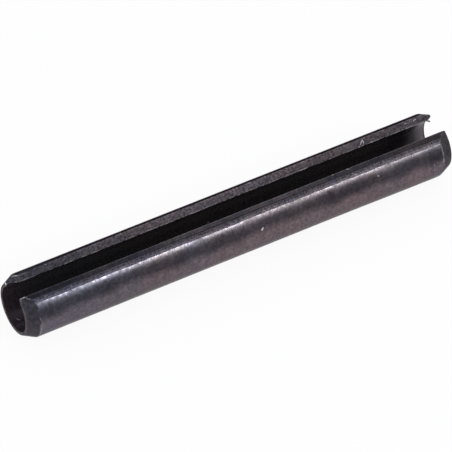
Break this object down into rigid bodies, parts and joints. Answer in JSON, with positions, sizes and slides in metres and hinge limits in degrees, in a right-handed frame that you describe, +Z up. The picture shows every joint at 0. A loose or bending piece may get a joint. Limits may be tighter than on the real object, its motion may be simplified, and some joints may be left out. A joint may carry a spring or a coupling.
{
  "type": "slotted spring pin",
  "caption": "Slotted spring roll pin: a steel strip rolled into an open tube with tapered ends, driven into a slightly smaller hole to lock parts together.",
  "frame": {"origin": "on the pin's axis, at mid-length", "axes": "+X along the axis towards the end with the torn lip, +Z up; the slot faces up, leaning 2.3 degrees towards +Y, as the pin comes to rest"},
  "size_m": [0.04, 0.0054, 0.005],
  "materials": {
    "spring_steel": "blackened and oiled spring steel, semi-gloss, with fine marks from rolling round the tube"
  },
  "bodies": {
    "root": {"spring_pin": "spring_steel"}
  },
  "joints": []
}
